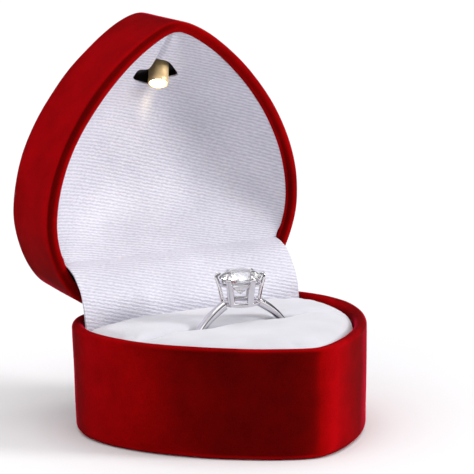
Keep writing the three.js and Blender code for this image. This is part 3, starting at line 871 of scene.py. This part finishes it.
def lamp():
    """The brass sleeve with its beaded mouth, and the domed lamp inside it."""
    foot, mouth = swing(LAMP_FOOT[None])[0], swing(LAMP_MOUTH[None])[0]
    length = np.linalg.norm(mouth - foot)
    axis = (mouth - foot) / length
    sleeve_profile = [
        (1.68, -2.2),
        (2.1, -2.2),
        (2.1, length - 1.0),
        (2.14, length - 0.85),
        (2.14, length - 0.5),
        (2.1, length - 0.35),
        (2.1, length - 0.08),
        (2.03, length),
        (1.86, length),
        (1.76, length - 0.1),
        (1.72, length - 0.6),
        (1.68, length - 3.5),
    ]
    sleeve = lathe("lamp_sleeve_turned", sleeve_profile, foot, axis)
    finish_piece(sleeve, "lid", "brass", "lamp_sleeve")
    dome = [(1.5, length - 4.2), (1.6, length - 4.0), (1.66, length - 0.7)]
    dome += [(1.62 * math.cos(a), length - 0.62 + 0.42 * math.sin(a)) for a in np.radians(range(0, 90, 12))]
    finish_piece(lathe("lamp_glow", [*dome, (0.02, length - 0.2)], foot, axis), "lid", "lens", "lamp_bulb")


lamp()


def switch_coil():
    """The switch's spring, drawn at one length with the lid open; the real one shortens as the plunger comes
    up.
    """
    low, high, turns = 27.2, 32.0, 3
    at = np.linspace(0, 1, 97)
    turn = 2 * math.pi * turns * at
    x, y = SWITCH_X + COIL_RADIUS * np.cos(turn), SWITCH_Y + COIL_RADIUS * np.sin(turn)
    path = np.stack([x, y, low + (high - low) * at], axis=1)
    coil = finish_piece(wire("switch_coil", swing(path), 0.18), None, "steel", "switch_spring")
    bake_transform(coil)


def hinge_coil():
    """The hinge's torsion spring: one leg on the base's leaf, one on the lid's, the coil winding between."""
    turns, half = 3.25, 1.6
    y, z = HINGE[1:]
    at = np.linspace(0, 1, 40)
    turn = 2 * math.pi * turns * at - math.pi / 2
    around_y, around_z = y + COIL_RADIUS * np.cos(turn), z + COIL_RADIUS * np.sin(turn)
    coil = np.stack([half * (2 * at - 1), around_y, around_z], axis=1)
    base_leg = [(-1.7, y - 4.6, z - 0.35), (-1.7, y - 2.2, z - 0.5), (-1.65, y - 0.9, z - 1.0)]
    lid_leg = [(1.65, y + 0.8, z + 0.9), (1.7, y, z + 2.0), (1.7, y - 0.2, z + 4.6)]
    path = curve_through([*base_leg, *coil, *lid_leg], 300)
    spring = finish_piece(wire("hinge_coil", path, 0.2), None, "steel", "hinge_spring")
    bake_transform(spring)


switch_coil()
hinge_coil()


# ---- Ring ----
def ring_shank():
    """A polished band, open at the top: its two arms run almost straight up to the setting."""
    arm_end = math.radians(69.6)  # up from level, on either side
    arm_reach, arm_lean = 11.32, 48.8  # a straight arm's nearest point: its distance and degrees up
    arm_share = 0.35  # 0 keeps the arms round, 1 makes them straight
    rings = []
    profile = np.linspace(0, 2 * math.pi, 28, endpoint=False)
    for angle in np.linspace(arm_end, -math.pi - arm_end, 170):
        lean = abs(math.degrees(math.asin(math.sin(angle))))
        high = math.sin(angle) > 0
        outer = RING_OUTER
        if high and lean > 29:
            straight = arm_reach / math.cos(math.radians(lean - arm_lean))
            outer += arm_share * (min(straight, RING_OUTER) - RING_OUTER)
        thick = 1.3 + 0.5 * float(smoothstep((lean - 30) / 35)) * high
        half = 1.0 - 0.1 * float(smoothstep((lean - 40) / 30)) * high
        middle = outer - thick / 2
        radius = middle + thick / 2 * np.sign(np.cos(profile)) * np.abs(np.cos(profile)) ** 0.8
        side = half * np.sign(np.sin(profile)) * np.abs(np.sin(profile)) ** 0.6
        rings.append(
            np.stack([radius * math.cos(angle), SLOT_Y + side, RING_Z + radius * math.sin(angle)], axis=1)
        )
    return loft("ring_band", rings, 50)


def rail(radius, z, height, thick):
    """A round rail of the setting, with soft edges."""
    count, sides = 72, 14
    points = []
    for a in np.linspace(0, 2 * math.pi, count, endpoint=False):
        for b in np.linspace(0, 2 * math.pi, sides, endpoint=False):
            out = radius + thick / 2 * np.sign(math.cos(b)) * abs(math.cos(b)) ** 0.6
            up = z + height / 2 * np.sign(math.sin(b)) * abs(math.sin(b)) ** 0.6
            points.append((out * math.cos(a), SLOT_Y + out * math.sin(a), up))
    faces = [
        (a * sides + b, (a + 1) % count * sides + b, (a + 1) % count * sides + (b + 1) % sides,
         a * sides + (b + 1) % sides)
        for a in range(count)
        for b in range(sides)
    ]
    return make("rail", points, faces, 50)


def flat_bar(name, path, width, thick, around):
    """A bar with soft edges up a prong's path: (radius, z) pairs, its width across the radius."""
    ring = [(math.cos(a), math.sin(a)) for a in np.linspace(0, 2 * math.pi, 16, endpoint=False)]
    out = np.array([math.cos(around), math.sin(around), 0])
    across = np.array([-math.sin(around), math.cos(around), 0])
    along = np.gradient(path, axis=0)
    along /= np.linalg.norm(along, axis=1)[:, None]
    rings = []
    for (radius, z), (run, rise), w, t in zip(path, along, width, thick):
        centre = np.array([0, SLOT_Y, z]) + out * radius
        normal = out * rise - np.array([0, 0, run])
        rings.append(
            np.array(
                [
                    centre
                    + normal * t / 2 * np.sign(c) * abs(c) ** 0.6
                    + across * w / 2 * np.sign(s) * abs(s) ** 0.6
                    for c, s in ring
                ]
            )
        )
    return loft(name, rings, 60)


def setting():
    """Two rails and six broad prongs that close over the stone."""
    pieces = [
        rail(radius=3.55, z=HEAD_Z + 0.5, height=0.95, thick=0.95),
        rail(radius=4.0, z=HEAD_Z + 4.35, height=0.6, thick=0.8),
    ]
    spine = curve_through(
        [
            (3.6, HEAD_Z + 0.15),
            (3.85, HEAD_Z + 1.8),
            (4.2, HEAD_Z + 3.6),
            (4.6, HEAD_Z + 5.0),
            (4.8, GIRDLE_Z),
            (4.68, GIRDLE_Z + 0.45),
            (4.3, GIRDLE_Z + 0.68),
            (3.9, GIRDLE_Z + 0.85),
        ],
        26,
    )
    at = np.linspace(0, 1, len(spine))
    width = np.interp(at, [0, 0.55, 0.8, 1], [1.45, 1.4, 1.15, 0.6])
    thick = np.interp(at, [0, 0.6, 0.9, 1], [0.8, 0.75, 0.75, 0.4])
    for i in range(6):
        pieces.append(flat_bar("prong", spine, width, thick, 2 * math.pi * (i + 0.5) / 6))
    return join("ring_setting", pieces)


def brilliant():
    """A round brilliant: table, stars, kites, upper and lower girdle facets and pavilion."""
    girdle, table, crown, depth, band = 4.28, 2.45, 1.3, 3.6, 0.09

    def at(radius, index, z):
        angle = math.pi / 8 * index
        return (radius * math.cos(angle), SLOT_Y + radius * math.sin(angle), GIRDLE_Z + z)

    star, low = 3.35, 1.05
    slope = (band - crown) / (girdle - table)
    star_z = crown + (star * math.cos(math.pi / 8) - table) * slope
    low_z = -depth + low * math.cos(math.pi / 8) * (depth - band) / girdle
    points = [at(table, 2 * k, crown) for k in range(8)]
    points += [at(star, 2 * k + 1, star_z) for k in range(8)]
    points += [at(girdle, i, band) for i in range(16)]
    points += [at(girdle, i, -band) for i in range(16)]
    points += [at(low, 2 * k + 1, low_z) for k in range(8)]
    points.append((0, SLOT_Y, GIRDLE_Z - depth))
    s, g, h, p, culet = 8, 16, 32, 48, 56
    faces = [tuple(range(8))]
    for k in range(8):
        after, before = (k + 1) % 8, (k - 1) % 8
        two = (2 * k + 2) % 16
        faces += [
            (k, s + k, after),
            (k, s + before, g + 2 * k, s + k),
            (s + k, g + 2 * k, g + 2 * k + 1),
            (s + k, g + 2 * k + 1, g + two),
            (p + k, h + 2 * k + 1, h + 2 * k),
            (p + k, h + two, h + 2 * k + 1),
            (culet, p + k, h + 2 * k, p + before),
        ]
    faces += [(g + i, h + i, h + (i + 1) % 16, g + (i + 1) % 16) for i in range(16)]
    piece = make("ring_brilliant", points, faces, 1)
    piece.data.polygons.foreach_set("use_smooth", [False] * len(piece.data.polygons))
    return piece


finish_piece(ring_shank(), "base", "silver", "ring_shank")
finish_piece(setting(), "base", "silver", "ring_head")
finish_piece(brilliant(), "base", "stone", "ring_stone")


# ---- Floor, light and camera ----
def stage():
    """A pale floor, a soft studio sky and three broad lights."""
    reach = 4000
    corners = [(-reach, -reach, 0), (reach, -reach, 0), (reach, reach, 0), (-reach, reach, 0)]
    floor = make("floor", corners, [(0, 1, 2, 3)])
    paint = material("floor", Base_Color=(0.86, 0.86, 0.87, 1), Roughness=0.7, Specular_IOR_Level=0.2)[0]
    floor.data.materials.append(paint)
    floor.location.z = -0.00005
    floor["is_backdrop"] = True
    world = bpy.data.worlds.new("studio")
    world.use_nodes = True
    tree = world.node_tree
    place = tree.nodes.new("ShaderNodeTexCoord")
    split = tree.nodes.new("ShaderNodeSeparateXYZ")
    tree.links.new(place.outputs["Generated"], split.inputs["Vector"])
    # bright overhead and pale low down, with a darker belt between for the polished metal to show
    sky = tree.nodes.new("ShaderNodeValToRGB")
    stops = sky.color_ramp.elements
    stops[0].position, stops[0].color = 0.0, (0.75, 0.75, 0.77, 1)
    stops[1].position, stops[1].color = 1.0, (1, 1, 1, 1)
    for position, grey in ((0.07, 0.65), (0.15, 0.05), (0.34, 0.1), (0.5, 1.0)):
        stop = stops.new(position)
        stop.color = (grey, grey, grey * 1.02, 1)
    tree.links.new(split.outputs["Z"], sky.inputs["Fac"])
    tree.links.new(sky.outputs["Color"], tree.nodes["Background"].inputs["Color"])
    tree.nodes["Background"].inputs["Strength"].default_value = 0.8
    bpy.context.scene.world = world
    for name, direction, size, power in (
        ("key", (0.80, -0.78, 0.44), 16, 2.0),
        ("fill", (-0.90, -0.35, 0.60), 45, 0.45),
        ("top", (0.05, -0.10, 1.0), 50, 0.85),
    ):
        light = bpy.data.lights.new(name, "SUN")
        light.angle = math.radians(size)
        light.energy = power
        lamp_object = bpy.data.objects.new(name, light)
        lamp_object.rotation_euler = Vector(direction).to_track_quat("Z", "Y").to_euler()
        bpy.context.scene.collection.objects.link(lamp_object)
    bpy.context.scene.view_settings.view_transform = "Standard"


def camera():
    """A long lens, from the front left and a little above."""
    azimuth, elevation, roll = math.radians(-31.4), math.radians(12.9), math.radians(-1.1)
    distance = 0.6307
    lens = 237.1
    target = Vector((0, 0, BASE_HEIGHT / 2 * MM))
    off_x, off_y = -0.0008, 0.0441  # the target's place left of and below the middle, as slopes
    back = Vector(
        (
            math.sin(azimuth) * math.cos(elevation),
            -math.cos(azimuth) * math.cos(elevation),
            math.sin(elevation),
        )
    )
    right = Vector((0, 0, 1)).cross(back).normalized()
    up = back.cross(right)
    right, up = (
        math.cos(roll) * right + math.sin(roll) * up,
        math.cos(roll) * up - math.sin(roll) * right,
    )
    ahead = (-back - off_x * right + off_y * up).normalized()
    side = ahead.cross(up).normalized()
    top = side.cross(ahead)
    turn = Matrix((side, top, -ahead)).transposed()
    data = bpy.data.cameras.new("camera")
    data.lens = lens
    data.sensor_width = 36
    data.clip_start = 0.01
    data.clip_end = 50
    view = bpy.data.objects.new("camera", data)
    view.matrix_world = Matrix.Translation(target + back * distance) @ turn.to_4x4()
    bpy.context.scene.collection.objects.link(view)
    bpy.context.scene.camera = view


stage()
camera()

low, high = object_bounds()
